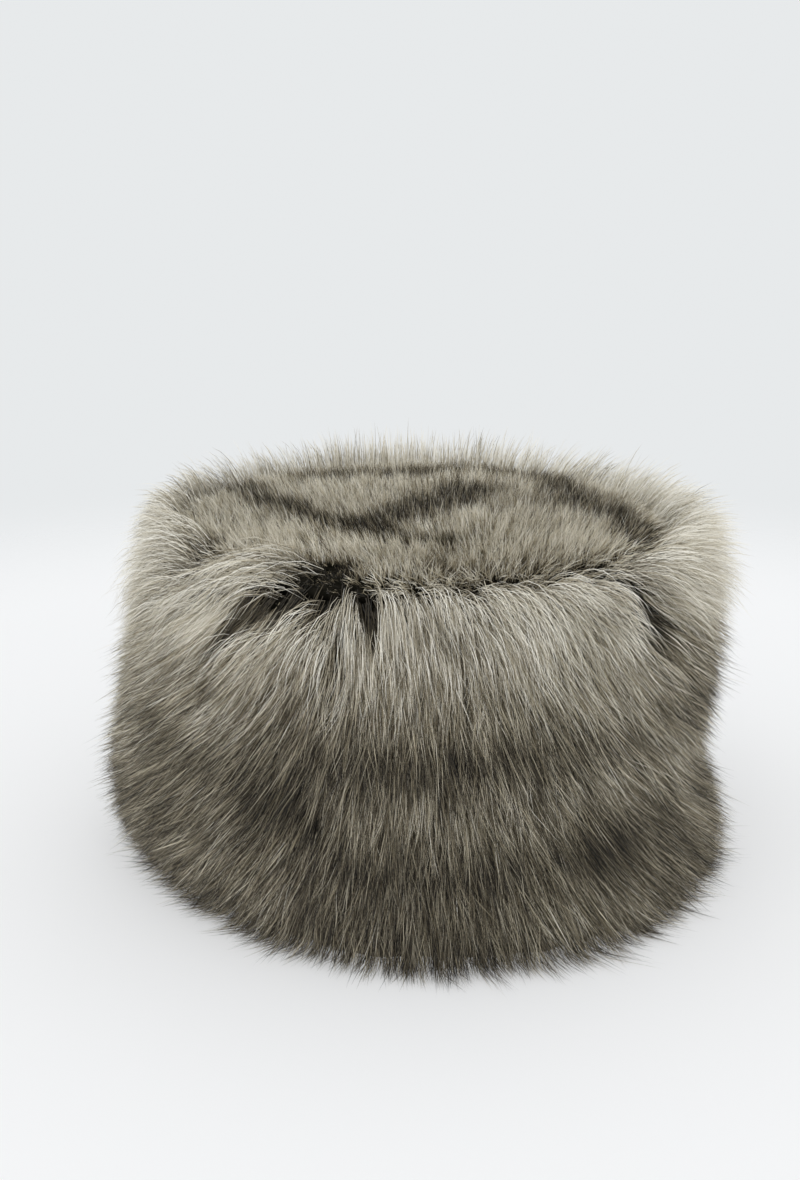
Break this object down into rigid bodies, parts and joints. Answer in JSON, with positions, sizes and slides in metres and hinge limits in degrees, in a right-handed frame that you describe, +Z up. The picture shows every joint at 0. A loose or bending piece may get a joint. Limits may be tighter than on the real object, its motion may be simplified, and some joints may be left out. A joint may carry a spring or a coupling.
{
  "type": "cylindrical fur hat",
  "caption": "Tall round fur hat with a long-haired side band and a flat crown of shorter fur, open below for the head.",
  "frame": {"origin": "on the surface that the hem rests on, under the middle of the head opening", "axes": "+Z up through the crown, -Y to the front of the hat, +X to its left side as worn"},
  "size_m": [0.2599, 0.2697, 0.1493],
  "materials": {
    "band_fur": "long pile, silver-grey above and dark brown below",
    "crown_fur": "short pile, beige-brown with dark streaks"
  },
  "bodies": {
    "root": {"side_band": "band_fur", "crown_panel": "crown_fur"}
  },
  "joints": []
}
